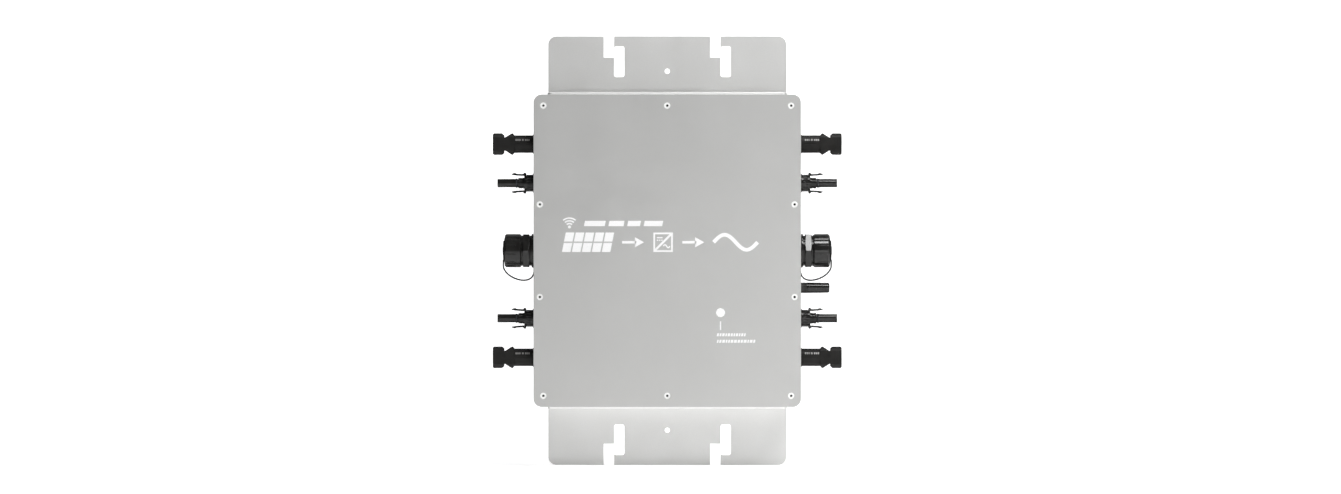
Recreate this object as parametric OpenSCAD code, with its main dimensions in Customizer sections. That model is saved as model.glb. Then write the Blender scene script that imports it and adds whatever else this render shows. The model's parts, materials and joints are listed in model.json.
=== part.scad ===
// Four-input micro inverter: shallow aluminium case with hook brackets at both ends,
// DC connectors, capped AC ports and a stub antenna on its sides, and its electronics.
// Millimetres. X runs to the right, Z up, and the front cover faces -Y.
// The origin is the centre of the rear mounting plane.

/* [Case] */
// Width of the front cover
cover_w = 231; // [229:0.5:234]
// Height of the front cover
cover_h = 270; // [268:0.5:273]
// Depth from the mounting plane to the front of the cover
case_d = 40; // [39:0.5:42]
// Thickness of the cover sheet
cover_t = 2.5; // [2:0.1:3]
// Corner radius of the cover
cover_r = 7; // [6:0.5:9]
// How far the cover stands past the side walls
side_overhang = 1.5; // [1:0.1:1.8]
// How far the cover stands past the end walls
end_overhang = 0.5; // [0.2:0.1:0.8]
// Thickness of the side walls
side_wall_t = 3.5; // [3:0.1:3.8]
// Thickness of the end walls
end_wall_t = 4; // [3.5:0.1:4.5]
// Thickness of the floor between the cavity and the fins
floor_t = 3.5; // [3:0.1:4]
// Thickness of the sheet gasket under the cover
gasket_t = 0.8; // [0.5:0.1:1]

/* [Cover screws] */
// Distance of the corner screws from the sides of the cover
screw_inset_x = 8.5; // [8:0.5:9]
// Distance of the corner screws from the ends of the cover
screw_inset_z = 9.7; // [9:0.1:10.5]
// Distance of the side screws from the sides of the cover
side_screw_inset = 5.5; // [5:0.1:6]
// Distance of the side screws above and below the middle
side_screw_z = 40; // [36:1:44]

/* [Cooling fins] */
// Height of the fins
fin_h = 6; // [4:0.5:6]
// Thickness of a fin
fin_t = 2; // [1.5:0.1:2.5]
// Spacing of the fins
fin_pitch = 7.6; // [6:0.2:10]
// Air gap between the fin tips and the mounting plane
fin_gap = 1; // [0.5:0.1:1.5]

/* [Brackets] */
// Height over both brackets
overall_h = 372.5; // [366:0.5:380]
// Width of a bracket
bracket_w = 207; // [200:1:210]
// Sheet thickness of a bracket
bracket_t = 2; // [1.5:0.1:2.5]
// Inside radius of the bend
bend_r = 1.5; // [1:0.1:2]
// Width of the bolt slots
slot_w = 9; // [8:0.1:9.5]
// Distance from the middle to the centre of each pair of slots
slot_x = 46.25; // [40:0.25:60]
// Depth of the slot mouth from the bracket edge
slot_mouth_d = 18.4; // [16:0.1:20]
// Distance from the bracket edge to the bottom of the hook slot
hook_bottom_d = 35.3; // [32:0.1:38]
// Length of the hook slot
hook_l = 26.7; // [24:0.1:28]
// Distance from the middle to the small fixing hole
fixing_hole_z = 156; // [152:0.5:158]
// Diameter of the small fixing hole
fixing_hole_d = 4.5; // [4:0.1:6]

/* [DC connectors] */
// Distance from the middle to the outer pair of connectors
receptacle_z = 92.3; // [90:0.1:94]
// Distance from the middle to the inner pair of connectors
plug_z = 58.5; // [56:0.1:60]
// Length of a receptacle outside the wall
receptacle_l = 36.9; // [35:0.1:38]
// Length of a plug outside the wall
plug_l = 33; // [30:0.2:34]

/* [AC ports and antenna] */
// Across the grip of a port cap
cap_d = 28.8; // [28:0.1:29]
// Distance of the antenna below the middle
antenna_z = -32.1; // [-34:0.1:-31]
// Length of the antenna outside the wall
antenna_l = 26.4; // [24:0.2:30]
// Diameter of the antenna
antenna_d = 9.1; // [8:0.1:9.5]

/* [Status light] */
// Distance of the window from the middle
window_x = 46; // [40:0.5:50]
// Height of the window from the middle
window_z = -53.5; // [-56:0.5:-51]
// Diameter of the window
window_d = 7.6; // [6:0.1:8]

/* [Hidden] */

$fn = 48;
eps = 0.01;
LEFT = -1;
RIGHT = 1;
UP = 1;
DOWN = -1;

// Depth planes, from the back (0) to the front (-case_d)
cover_back_y = -case_d + cover_t;
rim_y = cover_back_y + gasket_t;
floor_back_y = -fin_gap - fin_h;
floor_y = floor_back_y - floor_t;
port_y = (floor_y + rim_y) / 2;
board_gap = 4;
board_t = 1.6;
board_y = floor_y - board_gap - board_t;

// Outer faces of the walls, and the space inside them
wall_x = cover_w / 2 - side_overhang;
wall_z = cover_h / 2 - end_overhang;
case_r = cover_r - 1;
inner_x = wall_x - side_wall_t;
inner_z = wall_z - end_wall_t;

// Cover screws: M3 countersunk
m3_r = 1.5;
m3_head_r = 2.85;
cover_screw_l = 10;
corner_screw_x = cover_w / 2 - screw_inset_x;
end_screw_z = cover_h / 2 - screw_inset_z;
side_screw_x = cover_w / 2 - side_screw_inset;
cover_screws_at = [
  for (x = [-corner_screw_x, 0, corner_screw_x], z = [-end_screw_z, end_screw_z]) [x, z],
  for (x = [-side_screw_x, side_screw_x], z = [-side_screw_z, side_screw_z]) [x, z]
];
boss_r = 3.6;
web_l = 6;
cavity_r = 3;

// Bracket screws: M4 countersunk
m4_r = 2;
m4_head_r = 3.7;
bracket_screw_l = 9;
bracket_screws_x = [-95, -20, 20, 95];
bracket_screw_y = port_y;
leg_front_y = rim_y + 1.2;

board_w = 178;
board_h = 236;
board_screws_at = [for (x = [-84, 84], z = [-112, 12, 112]) [x, z]];

// Clearances between pieces that sit in each other
fit_gap = 0.05;
loose_gap = 0.1;

// Panel hardware shared by both DC connector types
dc_thread_r = 6;
dc_gasket_t = 0.8;
dc_flange_r = 8.2;
dc_flange_t = 1.6;
dc_nut_t = 4;
dc_nut_r = 8.5;
dc_stub_l = side_wall_t + dc_nut_t + 1.5;

// Receptacle
barrel_r = 7.6;
receptacle_half_h = 9.3;
receptacle_half_w = 7.6;
sleeve_half_h = 5.6;
head_l = 9.7;
mouth_r = 4;
mouth_l = 8;
socket_r = 3.8;
pin_r = 1.5;

// Plug
plug_body_r = 7.3;
plug_body_l = 9.7;
plug_collar_r = 4.7;
plug_collar_l = 14.8;
plug_rings = 3;
plug_ring_pitch = 1.2;
probe_r = 3.6;
socket_contact_r = 2.25;
oring_at = 15.6;
oring_w = 1.6;
arm_w = 6;
arm_pivot_h = 6.2;
arm_pivot_l = 8.8;
arm_bead_r = 0.9;

// AC port, distances from the wall outwards
ac_thread_r = 10.5;
ac_nut_r = 12.6;
ac_gasket_t = 1;
ac_ring_t = 1;
ac_flange_r = 14.6;
ac_flange_end = 3.4;
ac_neck_r = 13;
ac_hex_start = 5.4;
ac_hex_end = 10.8;
ac_hex_r = 16.35;
ac_hex_chamfer = 0.6;
ac_shoulder_r = 13.1;
ac_spigot_r = 12;
ac_spigot_end = 24.2;
ac_nut_t = 5;
ac_contact_r = 1.4;
ac_contact_ring = 3.8;
cap_start = 12.4;
cap_end = 27.2;
cap_bore_r = 12.4;
cap_bore_end = 25.2;
cap_grooves = 12;
cap_groove_r = 0.5;
cap_groove_start = 17;
cap_groove_turn = 11;
eyelet_t = 0.8;
eyelet_r = 8.6;
strap_t = 1.3;
button_t = 0.4;
strap_w = 5;

// Antenna
jack_r = 3.1;
jack_out = 6;
jack_nut_t = 2.5;
jack_in = side_wall_t + jack_nut_t + 2;
collar_start = 1.7;
collar_end = 7;

// ---------- helpers ----------

// Sheet lying in the XZ plane, from y_back towards the front
module facing(y_back, depth)
  translate([0, y_back, 0]) rotate([90, 0, 0]) linear_extrude(depth) children();

// Profile drawn in the YZ plane, swept along X
module along_x(length)
  rotate([90, 0, 90]) linear_extrude(length, center = true) children();

// Profile drawn in a connector's side view (x across, y outwards), swept through its width
module across(width)
  rotate([90, 0, 0]) linear_extrude(width, center = true) children();

module rounded_rect(w, h, r) {
  square([w - 2 * r, h], center = true);
  square([w, h - 2 * r], center = true);
  for (x = [-1, 1], y = [-1, 1])
    translate([x * (w / 2 - r), y * (h / 2 - r)]) circle(r);
}

module tube(r_out, r_in, h) difference() {
  cylinder(r = r_out, h = h);
  translate([0, 0, -1]) cylinder(r = r_in, h = h + 2);
}

module box_at(centre, size) translate(centre) cube(size, center = true);

// Moves a piece drawn along +Z so that it stands out of the left or right wall
module on_wall(side, z)
  mirror([side == LEFT ? 1 : 0, 0, 0])
    translate([wall_x, port_y, z]) rotate([0, 90, 0]) children();

// Countersunk screw with its head's face at z = 0 and its shank down -Z
module countersunk_screw(shank_r, head_r, length, key_r) difference() {
  union() {
    translate([0, 0, shank_r - head_r]) cylinder(r1 = shank_r, r2 = head_r, h = head_r - shank_r);
    translate([0, 0, -length]) cylinder(r = shank_r, h = length);
  }
  translate([0, 0, -1.2]) cylinder(r = key_r, h = 2, $fn = 6);
}

module countersink(shank_r, head_r) {
  translate([0, 0, shank_r - head_r]) cylinder(r1 = shank_r, r2 = head_r, h = head_r - shank_r);
  cylinder(r = head_r, h = 1);
  translate([0, 0, -10]) cylinder(r = shank_r, h = 10);
}

// ---------- case ----------

module cover() color("silver") difference() {
  facing(cover_back_y, cover_t) rounded_rect(cover_w, cover_h, cover_r);
  for (p = cover_screws_at)
    translate([p[0], -case_d, p[1]]) rotate([90, 0, 0]) countersink(m3_r + 0.2, m3_head_r + 0.1);
  translate([window_x, 0, window_z]) rotate([90, 0, 0])
    translate([0, 0, case_d - cover_t - 1]) cylinder(d = window_d + 2 * fit_gap, h = cover_t + 2);
}

// Plan of the open space inside the case, with the screw bosses left standing
module cavity_plan() difference() {
  rounded_rect(2 * inner_x, 2 * inner_z, cavity_r);
  for (p = cover_screws_at) translate(p) {
    circle(boss_r);
    if (abs(p[1]) > side_screw_z) translate([-boss_r, p[1] > 0 ? 0 : -web_l]) square([2 * boss_r, web_l]);
    else translate([p[0] > 0 ? 0 : -web_l, -boss_r]) square([web_l, 2 * boss_r]);
  }
}

module cover_gasket() color([0.12, 0.12, 0.13]) difference() {
  facing(rim_y, gasket_t) difference() {
    rounded_rect(2 * wall_x - 1, 2 * wall_z - 1, case_r - 0.5);
    cavity_plan();
  }
  for (p = cover_screws_at)
    translate([p[0], rim_y + 1, p[1]]) rotate([90, 0, 0]) cylinder(r = m3_r + 0.2, h = gasket_t + 2);
}

module cover_screws() color("gainsboro")
  for (p = cover_screws_at)
    translate([p[0], -case_d + 0.1, p[1]]) rotate([90, 0, 0])
      countersunk_screw(m3_r, m3_head_r - 0.1, cover_screw_l, 1.15);

module fins() {
  count = 2 * floor((wall_x - case_r) / fin_pitch);
  for (i = [0 : count - 1])
    translate([(i - (count - 1) / 2) * fin_pitch - fin_t / 2, floor_back_y - 0.5, -wall_z])
      cube([fin_t, fin_h + 0.5, 2 * wall_z]);
}

module housing() color("darkgray") difference() {
  union() {
    difference() {
      facing(floor_back_y, floor_back_y - rim_y) rounded_rect(2 * wall_x, 2 * wall_z, case_r);
      facing(floor_y, case_d) cavity_plan();
    }
    fins();
    for (p = board_screws_at)
      translate([p[0], floor_y + eps, p[1]]) rotate([90, 0, 0]) cylinder(r = 3.5, h = board_gap + eps);
    for (x = bracket_screws_x, s = [-1, 1])
      translate([x, bracket_screw_y, s * (inner_z - 2.5)]) cylinder(r = 4.5, h = 6, center = true);
  }
  for (p = cover_screws_at)
    translate([p[0], rim_y + 9, p[1]]) rotate([90, 0, 0]) cylinder(r = m3_r + fit_gap, h = 12);
  for (p = board_screws_at)
    translate([p[0], floor_y + 2, p[1]]) rotate([90, 0, 0]) cylinder(r = m3_r + fit_gap, h = 9);
  for (x = bracket_screws_x, s = [-1, 1])
    translate([x, bracket_screw_y, s * (wall_z - 4.5)]) cylinder(r = m4_r + fit_gap, h = 10, center = true);
  for (side = [LEFT, RIGHT]) {
    for (z = [receptacle_z, plug_z, -plug_z, -receptacle_z])
      on_wall(side, z) translate([0, 0, -side_wall_t - 1])
        cylinder(r = dc_thread_r + loose_gap, h = side_wall_t + 2);
    on_wall(side, 0) translate([0, 0, -side_wall_t - 1])
      cylinder(r = ac_thread_r + loose_gap, h = side_wall_t + 2);
  }
  on_wall(RIGHT, antenna_z) translate([0, 0, -side_wall_t - 1])
    cylinder(r = jack_r + loose_gap, h = side_wall_t + 2);
  for (end = [-1, 1], x = clamp_screws_x)
    translate([x, transistor_mid_y, end * (inner_z + 1)]) cylinder(r = m3_r + fit_gap, h = 3, center = true);
}

module status_window() color("white")
  translate([window_x, cover_back_y + 1, window_z]) rotate([90, 0, 0]) {
    cylinder(d = window_d, h = cover_t + 1);
    cylinder(d = window_d + 2.4, h = 1);
  }

module status_led() color("honeydew") {
  translate([window_x, board_y, window_z]) rotate([90, 0, 0]) cylinder(r = 2.5, h = 14);
  translate([window_x, board_y, window_z]) rotate([90, 0, 0]) cylinder(r = 2.9, h = 1.2);
}

// ---------- brackets ----------

// Stepped slot seen from the front: a mouth open to the edge, and a hook slot beside it
module hook_slot_plan() {
  edge = overall_h / 2;
  translate([-slot_w, edge - slot_mouth_d]) square([slot_w + eps, slot_mouth_d + 1]);
  translate([slot_w / 2, edge - hook_bottom_d + hook_l / 2]) rounded_rect(slot_w, hook_l, 2);
}

module tab_plan() {
  inner_edge = wall_z + bracket_t + bend_r;
  edge = overall_h / 2;
  difference() {
    union() {
      translate([-bracket_w / 2, inner_edge]) square([bracket_w, edge - cover_r - inner_edge]);
      translate([-bracket_w / 2 + cover_r, inner_edge])
        square([bracket_w - 2 * cover_r, edge - inner_edge]);
      for (s = [-1, 1]) translate([s * (bracket_w / 2 - cover_r), edge - cover_r]) circle(cover_r);
    }
    for (s = [-1, 1]) translate([s * slot_x, 0]) hook_slot_plan();
    translate([0, fixing_hole_z]) circle(d = fixing_hole_d);
  }
}

// Quarter ring that joins the leg to the tab
module bend_profile() translate([-bracket_t - bend_r, wall_z + bracket_t + bend_r])
  intersection() {
    difference() {
      circle(bend_r + bracket_t);
      circle(bend_r);
    }
    translate([0, -bend_r - bracket_t]) square(bend_r + bracket_t);
  }

module bracket() color("silver") difference() {
  union() {
    facing(0, bracket_t) tab_plan();
    along_x(bracket_w) bend_profile();
    translate([0, 0, wall_z]) linear_extrude(bracket_t) leg_plan();
  }
  for (x = bracket_screws_x)
    translate([x, bracket_screw_y, wall_z + bracket_t]) countersink(m4_r + 0.2, m4_head_r + 0.1);
}

// Leg against the end wall, seen from above, with its front corners rounded
module leg_plan() {
  r = 4;
  back = -bracket_t - bend_r;
  translate([-bracket_w / 2, leg_front_y + r]) square([bracket_w, back - leg_front_y - r]);
  translate([-bracket_w / 2 + r, leg_front_y]) square([bracket_w - 2 * r, back - leg_front_y]);
  for (s = [-1, 1]) translate([s * (bracket_w / 2 - r), leg_front_y + r]) circle(r);
}

module bracket_top() bracket();
module bracket_bottom() mirror([0, 0, 1]) bracket();

module bracket_screws() color("gainsboro")
  for (flip = [0, 1]) mirror([0, 0, flip])
    for (x = bracket_screws_x)
      translate([x, bracket_screw_y, wall_z + bracket_t - 0.1])
        countersunk_screw(m4_r, m4_head_r - 0.1, bracket_screw_l, 1.5);

// ---------- DC connectors, drawn along +Z with the wall at z = 0 ----------

module dc_flange_and_stub() {
  translate([0, 0, -dc_stub_l]) cylinder(r = dc_thread_r, h = dc_stub_l + dc_gasket_t + eps);
  translate([0, 0, dc_gasket_t]) cylinder(r = dc_flange_r, h = dc_flange_t);
}

// Side view of the latch shoulder, the notch behind the head, and the head
module receptacle_outline() {
  notch = receptacle_l - head_l;
  tip = receptacle_l;
  h = receptacle_half_h;
  half = [
    [barrel_r, notch - 8.8], [h, notch - 7.4], [h, notch - 6.6], [sleeve_half_h, notch - 0.9],
    [sleeve_half_h, notch], [h - 1.6, notch], [h, notch + 1.8], [h, tip - 0.9], [h - 0.9, tip]
  ];
  mirrored = [for (i = [len(half) - 1 : -1 : 0]) [-half[i][0], half[i][1]]];
  polygon(concat(half, mirrored));
}

module dc_receptacle() color([0.09, 0.09, 0.1]) difference() {
  union() {
    dc_flange_and_stub();
    translate([0, 0, dc_gasket_t]) cylinder(r = barrel_r, h = receptacle_l - head_l - 9);
    intersection() {
      across(2 * receptacle_half_w) receptacle_outline();
      translate([0, 0, 15]) cylinder(r = receptacle_half_h + 0.3, h = receptacle_l);
    }
  }
  translate([0, 0, receptacle_l - mouth_l]) cylinder(r = mouth_r, h = mouth_l + 1);
  translate([0, 0, 11]) cylinder(r = socket_r, h = receptacle_l - mouth_l - 11 + eps);
  translate([0, 0, -dc_stub_l - 1]) cylinder(r = 2.4 + fit_gap, h = dc_stub_l + 13);
  for (s = [-1, 1])
    box_at([s * (sleeve_half_h + 1.3), 0, receptacle_l - head_l / 2], [2.4, arm_w + 0.8, head_l + 3]);
  for (a = [30 : 60 : 330])
    rotate([0, 0, a]) translate([barrel_r + 0.35, 0, 4.5]) cylinder(r = 0.8, h = 11);
}

module dc_pin_contact() {
  translate([0, 0, -dc_stub_l - 4]) cylinder(r = 2.4, h = dc_stub_l + 4 + 10.8);
  translate([0, 0, 10]) cylinder(r = pin_r, h = receptacle_l - mouth_l - 11);
}

module dc_plug() color([0.09, 0.09, 0.1]) difference() {
  union() {
    dc_flange_and_stub();
    translate([0, 0, dc_gasket_t]) cylinder(r = plug_body_r, h = plug_body_l - dc_gasket_t);
    cylinder(r = plug_collar_r, h = plug_collar_l);
    cylinder(r = probe_r, h = plug_l);
  }
  translate([0, 0, -dc_stub_l - 1]) cylinder(r = socket_contact_r + fit_gap, h = plug_l + dc_stub_l + 2);
  translate([0, 0, oring_at]) tube(probe_r + 1, probe_r - 0.45, oring_w);
  for (i = [1 : plug_rings])
    translate([0, 0, plug_collar_l - i * plug_ring_pitch]) tube(plug_collar_r + 1, plug_collar_r - 0.4, 0.6);
  for (s = [-1, 1]) {
    translate([s * arm_pivot_h, 0, arm_pivot_l]) rotate([90, 0, 0])
      cylinder(r = arm_bead_r + loose_gap, h = arm_w + 0.4, center = true);
    box_at([s * (arm_pivot_h + 2), 0, plug_body_l - 0.8], [4, arm_w + 0.4, 2.2]);
    box_at([s * (arm_pivot_h + 1), 0, plug_body_l], [3.6, arm_w + 0.4, 1.8]);
  }
  for (a = [40 : 20 : 140], s = [0, 180])
    rotate([0, 0, a + s]) translate([plug_body_r + 0.3, 0, 3.6]) cylinder(r = 0.7, h = 4);
}

// Socket contact inside the probe: a tube that receives the other half's pin
module dc_socket_contact() difference() {
  translate([0, 0, -dc_stub_l - 4]) cylinder(r = socket_contact_r, h = dc_stub_l + 4 + plug_l - 0.8);
  translate([0, 0, plug_l - 18]) cylinder(r = pin_r + fit_gap, h = 20);
}

// Latch arm in side view: a round root, a finger fin, a thin blade and a barb at the tip
module latch_arm() color([0.09, 0.09, 0.1]) {
  h = arm_pivot_h;
  across(arm_w) {
    translate([h, arm_pivot_l]) circle(arm_bead_r);
    polygon([
      [h + 0.5, 7.9], [h + 2.8, 8.5], [h + 2.9, 9.7], [h + 1.8, 10.6], [h + 1.6, 11.6],
      [h + 1.9, 16.4], [h + 2.5, 17.4], [h + 2.5, 18.6], [h + 1.7, 20.8], [h + 1, 20.6],
      [h + 0.4, 16.5], [h, 9.5]
    ]);
  }
}

// Latch a is the upper arm of a plug and latch b the lower one
module latch(side, plug, arm)
  on_wall(side, plug * plug_z) mirror([arm == UP ? 1 : 0, 0, 0]) latch_arm();

module dc_plug_oring() color([0.05, 0.05, 0.05])
  translate([0, 0, oring_at + 0.05]) tube(probe_r + 0.35, probe_r - 0.4, oring_w - 0.1);

module dc_pin_contacts() color("goldenrod")
  for (side = [LEFT, RIGHT], z = [receptacle_z, -receptacle_z]) on_wall(side, z) dc_pin_contact();

module dc_socket_contacts() color("goldenrod")
  for (side = [LEFT, RIGHT], z = [plug_z, -plug_z]) on_wall(side, z) dc_socket_contact();

module dc_plug_orings()
  for (side = [LEFT, RIGHT], z = [plug_z, -plug_z]) on_wall(side, z) dc_plug_oring();

module panel_gaskets() color([0.05, 0.05, 0.05])
  for (side = [LEFT, RIGHT]) {
    for (z = [receptacle_z, plug_z, -plug_z, -receptacle_z])
      on_wall(side, z) tube(dc_flange_r - 0.3, dc_thread_r + loose_gap, dc_gasket_t);
    on_wall(side, 0) tube(ac_flange_r - 0.9, ac_thread_r + loose_gap, ac_gasket_t);
  }

module hex_nut(flat_r, bore_r, t) difference() {
  cylinder(r = flat_r / cos(30), h = t, $fn = 6);
  translate([0, 0, -1]) cylinder(r = bore_r, h = t + 2);
}

module lock_nuts() color([0.16, 0.16, 0.17])
  for (side = [LEFT, RIGHT]) {
    for (z = [receptacle_z, plug_z, -plug_z, -receptacle_z])
      on_wall(side, z) translate([0, 0, -side_wall_t - dc_nut_t])
        hex_nut(dc_nut_r, dc_thread_r + fit_gap, dc_nut_t);
    on_wall(side, 0) translate([0, 0, -side_wall_t - ac_nut_t])
      hex_nut(ac_nut_r, ac_thread_r + fit_gap, ac_nut_t);
    if (side == RIGHT)
      on_wall(side, antenna_z) translate([0, 0, -side_wall_t - jack_nut_t]) rotate([0, 0, 30])
        hex_nut(3.9, jack_r + fit_gap, jack_nut_t);
  }

// ---------- AC ports, drawn along +Z with the wall at z = 0 and +X pointing down ----------

module ac_port() color([0.1, 0.1, 0.1]) difference() {
  hex_flat_r = ac_hex_r * cos(30);
  union() {
    translate([0, 0, -side_wall_t - ac_nut_t - 2])
      cylinder(r = ac_thread_r, h = side_wall_t + ac_nut_t + 5);
    translate([0, 0, ac_gasket_t + ac_ring_t])
      cylinder(r = ac_flange_r, h = ac_flange_end - ac_gasket_t - ac_ring_t);
    translate([0, 0, ac_gasket_t + ac_ring_t])
      cylinder(r = ac_neck_r, h = ac_hex_start - ac_gasket_t - ac_ring_t + eps);
    intersection() {
      translate([0, 0, ac_hex_start]) rotate([0, 0, 30])
        cylinder(r = ac_hex_r, h = ac_hex_end - ac_hex_start, $fn = 6);
      rotate_extrude() polygon([
        [0, ac_hex_start], [hex_flat_r, ac_hex_start], [ac_hex_r, ac_hex_start + ac_hex_chamfer],
        [ac_hex_r, ac_hex_end - ac_hex_chamfer], [hex_flat_r, ac_hex_end], [0, ac_hex_end]
      ]);
    }
    translate([0, 0, ac_hex_start])
      cylinder(r = ac_shoulder_r, h = cap_start - loose_gap - ac_hex_start);
    translate([0, 0, ac_hex_start]) cylinder(r = ac_spigot_r - 0.4, h = ac_spigot_end - ac_hex_start);
    for (i = [0 : 2])
      translate([0, 0, cap_start + 1.6 + 3 * i]) cylinder(r = ac_spigot_r + 0.1, h = 1.4);
  }
  translate([0, 0, ac_spigot_end - 9]) tube(9.8, 7.2, 10);
  for (a = [90 : 120 : 330])
    rotate([0, 0, a]) translate([ac_contact_ring, 0, -side_wall_t - ac_nut_t - 3])
      cylinder(r = ac_contact_r + fit_gap, h = ac_spigot_end + 20);
}

module ac_port_contacts() color("goldenrod")
  for (side = [LEFT, RIGHT]) on_wall(side, 0)
    for (a = [90 : 120 : 330])
      rotate([0, 0, a]) translate([ac_contact_ring, 0, -side_wall_t - ac_nut_t - 6])
        cylinder(r = ac_contact_r, h = ac_spigot_end + side_wall_t + ac_nut_t + 5);

// Round grip with grooves along its outer part, a domed end, and a narrower edge towards the port
module ac_cap() color([0.1, 0.1, 0.1]) difference() {
  grip_r = cap_d / 2;
  rotate_extrude() polygon([
    [0, cap_start], [grip_r - 0.9, cap_start], [grip_r, cap_start + 1],
    [grip_r, cap_end - 1.9], [grip_r - 1.2, cap_end - 0.7], [grip_r - 5, cap_end], [0, cap_end]
  ]);
  for (i = [0 : cap_grooves - 1])
    rotate([0, 0, cap_groove_turn + i * 360 / cap_grooves + 90])
      translate([grip_r + 0.1, 0, cap_groove_start]) cylinder(r = cap_groove_r, h = cap_end);
  translate([0, 0, cap_start - 1]) cylinder(r = cap_bore_r, h = cap_bore_end - cap_start + 1);
  translate([0, 0, cap_start]) cylinder(r = 2 + fit_gap, h = cap_end);
}

module ac_cap_seal() color([0.05, 0.05, 0.05])
  translate([0, 0, ac_spigot_end + 0.1]) tube(cap_bore_r - 0.1, 8, cap_bore_end - ac_spigot_end - 0.1);

// Rivet that holds the tether's eyelet to the end of the cap
module ac_cap_button() color([0.1, 0.1, 0.1]) {
  translate([0, 0, cap_bore_end - 0.8]) cylinder(r = 2, h = cap_end - cap_bore_end + 0.8 + eyelet_t + 0.2);
  translate([0, 0, cap_end + eyelet_t + 0.1]) cylinder(r1 = 4.2, r2 = 3, h = button_t);
  translate([0, 0, cap_bore_end - 0.8]) cylinder(r = 3.2, h = 0.75);
}

// Centre line of the tether's free loop, as a cubic curve from the cap to the wall
tether_ctrl = [[13, cap_end + 0.75], [24, cap_end + 0.5], [33.3, 0.6], [16, 1.5]];
function bezier(c, t) =
  pow(1 - t, 3) * c[0] + 3 * pow(1 - t, 2) * t * c[1] + 3 * (1 - t) * t * t * c[2] + t * t * t * c[3];
function bezier_slope(c, t) =
  3 * pow(1 - t, 2) * (c[1] - c[0]) + 6 * (1 - t) * t * (c[2] - c[1]) + 3 * t * t * (c[3] - c[2]);
function offset_point(c, t, d) =
  let (v = bezier_slope(c, t)) bezier(c, t) + d * [-v[1], v[0]] / norm(v);

module tether_loop_outline() {
  steps = 20;
  half_t = strap_t / 2;
  polygon(concat(
    [for (i = [0 : steps]) offset_point(tether_ctrl, i / steps, half_t)],
    [for (i = [steps : -1 : 0]) offset_point(tether_ctrl, i / steps, -half_t)]
  ));
}

module ac_tether() color([0.08, 0.08, 0.08]) {
  plane = cap_end + 0.05;
  translate([0, 0, plane]) difference() {
    union() {
      cylinder(r = eyelet_r, h = eyelet_t);
      translate([0, -strap_w / 2, 0]) cube([13.1, strap_w, eyelet_t]);
    }
    translate([0, 0, -1]) cylinder(r = 2 + loose_gap, h = 4);
  }
  across(strap_w) tether_loop_outline();
  translate([0, 0, ac_gasket_t]) difference() {
    union() {
      cylinder(r = ac_flange_r - 1, h = ac_ring_t);
      translate([0, -strap_w / 2, 0]) cube([16.1, strap_w, ac_ring_t]);
    }
    translate([0, 0, -1]) cylinder(r = ac_thread_r + loose_gap, h = 4);
  }
}

// ---------- antenna ----------

module antenna_jack() color("gold") difference() {
  union() {
    translate([0, 0, -jack_in]) cylinder(r = jack_r, h = jack_in + jack_out);
    cylinder(r = 4.5, h = 1.5, $fn = 6);
  }
  translate([0, 0, 1]) cylinder(r = 2, h = jack_out);
}

module antenna_collar() color([0.1, 0.1, 0.1]) difference() {
  translate([0, 0, collar_start]) cylinder(d = antenna_d, h = collar_end - collar_start);
  cylinder(r = jack_r + 0.15, h = 20);
  for (a = [0 : 20 : 340])
    rotate([0, 0, a]) translate([antenna_d / 2 + 0.25, 0, collar_start + 0.8])
      cylinder(r = 0.5, h = collar_end - collar_start - 1.6);
}

module antenna_stub() color([0.1, 0.1, 0.1]) {
  base = collar_end + loose_gap;
  rotate_extrude() polygon([
    [0, base], [antenna_d / 2, base], [antenna_d / 2 - 0.25, antenna_l - 1],
    [antenna_d / 2 - 1.1, antenna_l], [0, antenna_l]
  ]);
  translate([0, 0, 3]) cylinder(r = 0.6, h = base);
}

// ---------- electronics ----------

transistor_w = 15.8;
transistor_h = 19.6;
transistor_t = 5;
lead_t = 0.6;
pad_t = 0.3;
clamp_t = 1.6;
transistors_x = [for (s = [-1, 1], x = [40, 58, 76]) s * x];
clamp_screws_x = [for (s = [-1, 1], x = [29.5, 86.5]) s * x];
transistor_mid_y = board_y - lead_t - transistor_h / 2;

module on_board(x, z) translate([x, board_y, z]) rotate([90, 0, 0]) children();

// Quarter turn of a wire, in the XY plane from +X to +Y
module wire_bend(bend, wire_r) rotate_extrude(angle = 90) translate([bend, 0]) circle(wire_r);

module main_board() color("seagreen") difference() {
  facing(board_y + board_t, board_t) rounded_rect(board_w, board_h, 3);
  for (p = board_screws_at) on_board(p[0], p[1]) translate([0, 0, -3]) cylinder(r = m3_r + 0.2, h = 6);
}

module board_screws() color("gainsboro")
  for (p = board_screws_at) on_board(p[0], p[1]) {
    cylinder(r = 2.8, h = 2);
    translate([0, 0, -6]) cylinder(r = m3_r, h = 6);
  }

transformers_at = [for (x = [-44, 44], z = [-84, 84]) [x, z]];
core_w = 38;
core_d = 32;
core_h = 19;
core_leg_r = 7;
core_yoke = 4;

// Two facing E halves: a ring of ferrite with a round middle leg
module transformer_core() difference() {
  translate([-core_w / 2, -core_d / 2, 0]) cube([core_w, core_d, core_h]);
  difference() {
    translate([core_yoke - core_w / 2, -core_d, core_yoke])
      cube([core_w - 2 * core_yoke, 2 * core_d, core_h - 2 * core_yoke]);
    cylinder(r = core_leg_r, h = core_h);
  }
}

module transformer_cores() color([0.2, 0.2, 0.22])
  for (p = transformers_at) on_board(p[0], p[1]) transformer_core();

module transformer_windings() color("orange")
  for (p = transformers_at) on_board(p[0], p[1]) translate([0, 0, core_yoke + 0.3])
    tube(core_w / 2 - core_yoke - 0.4, core_leg_r + 0.2, core_h - 2 * core_yoke - 0.6);

module can(x, z, r, h) on_board(x, z) {
  cylinder(r = r, h = h);
  translate([0, 0, h]) cylinder(r = r - 1, h = 0.3);
}

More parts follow.
